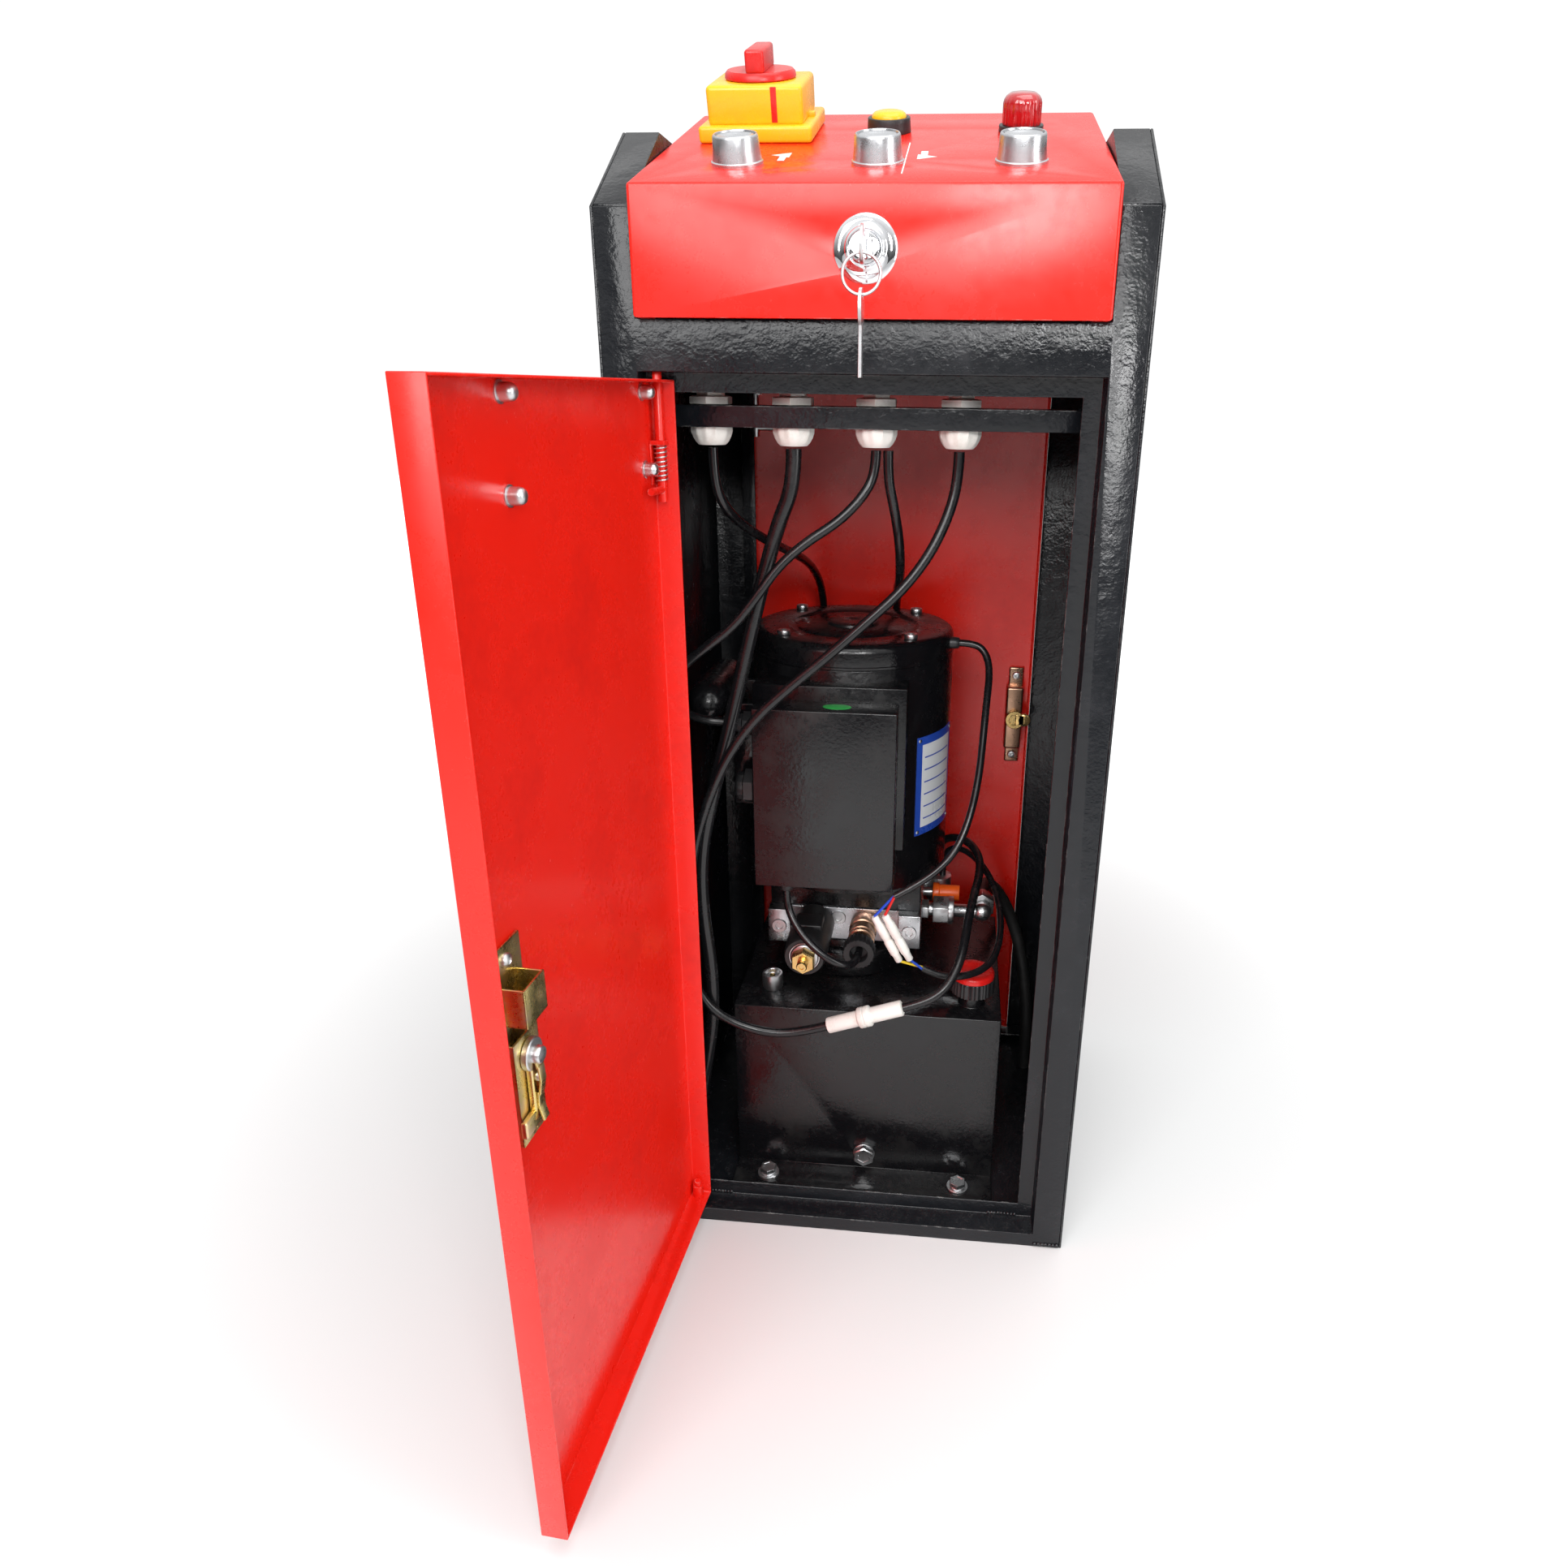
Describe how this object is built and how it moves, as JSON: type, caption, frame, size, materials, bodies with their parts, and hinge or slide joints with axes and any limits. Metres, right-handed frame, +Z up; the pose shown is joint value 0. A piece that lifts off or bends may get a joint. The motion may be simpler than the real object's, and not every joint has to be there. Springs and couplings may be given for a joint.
{
  "type": "hydraulic lift control cabinet",
  "caption": "Free-standing steel cabinet with a sloped operator console on top, two hinged doors and an electric hydraulic power pack with its wiring inside.",
  "frame": {"origin": "on the floor, at the middle of the cabinet's base", "axes": "+Z up, -Y out of the front door opening, +X to the right seen from the front"},
  "size_m": [0.34, 0.5725, 0.8866],
  "materials": {
    "black_coat": "wrinkled gloss powder coat",
    "red_coat": "fine-textured satin powder coat",
    "gloss_black": "gloss enamel",
    "zinc": "zinc plated",
    "yellow_zinc": "yellow passivated zinc",
    "chrome": "polished",
    "aluminium": "satin machined",
    "steel": "machined",
    "winding": "varnished copper and steel laminations",
    "nylon": "satin natural nylon",
    "black_plastic": "satin moulded",
    "yellow_plastic": "moulded",
    "red_plastic": "moulded",
    "orange_plastic": "moulded",
    "lens": "clear red",
    "brass": "turned",
    "sheath": "satin sheath"
  },
  "bodies": {
    "cabinet": {"side_panels": "black_coat", "front_frame": "black_coat", "top_cover": "black_coat", "base_plate": "black_coat", "gland_rail": "black_coat", "cable_glands": "nylon", "console_box": "red_coat", "button_bezels": "aluminium", "switch_bodies": "black_plastic", "pilot_lamp_lens": "lens", "main_switch_base": "yellow_plastic", "lock_body": "chrome", "tank": "gloss_black", "tank_plugs": "zinc", "machine_screws": "zinc", "pump_housing": "gloss_black", "manifold_block": "aluminium", "pump_adapter": "gloss_black", "motor_frame": "gloss_black", "motor_end_cover": "gloss_black", "stator": "winding", "motor_bearings": "steel", "junction_box": "gloss_black", "junction_glands": "black_plastic", "capacitor_cover": "gloss_black", "solenoid_coil": "black_plastic", "coil_nut": "brass", "valve_connector": "black_plastic", "outlet_fittings": "zinc", "port_cap": "orange_plastic", "wire_connectors": "nylon", "lead_valve_rear": "sheath", "lead_supply": "sheath", "lead_motor": "sheath", "lead_pump": "sheath", "lead_valve_upper": "sheath", "lead_valve_lower": "sheath", "lead_thermal": "sheath", "lead_thermal_tail": "sheath", "lead_coil": "sheath", "pressure_hose": "sheath"},
    "front_door": {"front_door_pan": "red_coat", "front_door_hardware": "yellow_zinc"},
    "front_latch": {"front_latch_claw": "yellow_zinc"},
    "rear_door": {"rear_door_pan": "red_coat", "rear_door_hardware": "zinc", "rear_latch_body": "brass"},
    "rear_latch": {"rear_latch_lever": "brass"},
    "raise_button": {"raise_button": "aluminium"},
    "lower_button": {"lower_button": "aluminium"},
    "park_button": {"park_button": "aluminium"},
    "stop_button": {"stop_button": "yellow_plastic"},
    "main_switch": {"main_switch_handle": "red_plastic"},
    "lock": {"key_plug": "chrome", "key": "chrome"},
    "key_ring": {"spare_key": "chrome"},
    "filler_cap": {"filler_cap": "black_plastic"},
    "rotor": {"rotor": "steel", "pump_drive_gear": "steel"},
    "driven_gear": {"pump_driven_gear": "steel"}
  },
  "joints": [
    {"name": "front_door_hinge", "type": "hinge", "parent": "cabinet", "child": "front_door", "pos_m": [-0.136, -0.1415, 0.34], "axis": [0, 0, 1], "range_deg": [-10, 94]},
    {"name": "front_latch_turn", "type": "hinge", "parent": "front_door", "child": "front_latch", "pos_m": [-0.14809, -0.39327, 0.34], "axis": [0.9976, -0.0698, 0], "range_deg": [0, 40], "stiffness_Nm_per_rad": 0.05},
    {"name": "rear_door_hinge", "type": "hinge", "parent": "cabinet", "child": "rear_door", "pos_m": [-0.127, 0.1415, 0.36], "axis": [0, 0, 1], "range_deg": [0, 95]},
    {"name": "rear_latch_turn", "type": "hinge", "parent": "rear_door", "child": "rear_latch", "pos_m": [0.122, 0.13, 0.368], "axis": [0, 1, 0], "range_deg": [0, 90]},
    {"name": "raise_button_press", "type": "slide", "parent": "cabinet", "child": "raise_button", "axis": [0, 0.3584, -0.9336], "range_m": [0, 0.004], "stiffness_N_per_m": 300},
    {"name": "lower_button_press", "type": "slide", "parent": "cabinet", "child": "lower_button", "axis": [0, 0.3584, -0.9336], "range_m": [0, 0.004], "stiffness_N_per_m": 300},
    {"name": "park_button_press", "type": "slide", "parent": "cabinet", "child": "park_button", "axis": [0, 0.3584, -0.9336], "range_m": [0, 0.004], "stiffness_N_per_m": 300},
    {"name": "stop_button_press", "type": "slide", "parent": "cabinet", "child": "stop_button", "axis": [0, 0.3584, -0.9336], "range_m": [0, 0.004], "stiffness_N_per_m": 300},
    {"name": "main_switch_turn", "type": "hinge", "parent": "cabinet", "child": "main_switch", "pos_m": [-0.086, -0.01796, 0.83176], "axis": [0, -0.3584, 0.9336], "range_deg": [-90, 0]},
    {"name": "lock_turn", "type": "hinge", "parent": "cabinet", "child": "lock", "pos_m": [-0.002, -0.158, 0.743], "axis": [0, 1, 0], "range_deg": [0, 90]},
    {"name": "key_ring_swing", "type": "hinge", "parent": "lock", "child": "key_ring", "pos_m": [-0.002, -0.183, 0.739], "axis": [1, 0, 0], "range_deg": [-30, 12]},
    {"name": "filler_cap_lift", "type": "slide", "parent": "cabinet", "child": "filler_cap", "axis": [0, 0, 1], "range_m": [0, 0.008]},
    {"name": "rotor_spin", "type": "hinge", "parent": "cabinet", "child": "rotor", "pos_m": [-0.026, 0.038, 0.3], "axis": [0, 0, 1], "continuous": true},
    {"name": "driven_gear_spin", "type": "hinge", "parent": "cabinet", "child": "driven_gear", "pos_m": [0.004, 0.038, 0.142], "axis": [0, 0, 1], "continuous": true}
  ],
  "couplings": [
    {"joint": "driven_gear_spin", "follows": "rotor_spin", "ratio": -1}
  ]
}
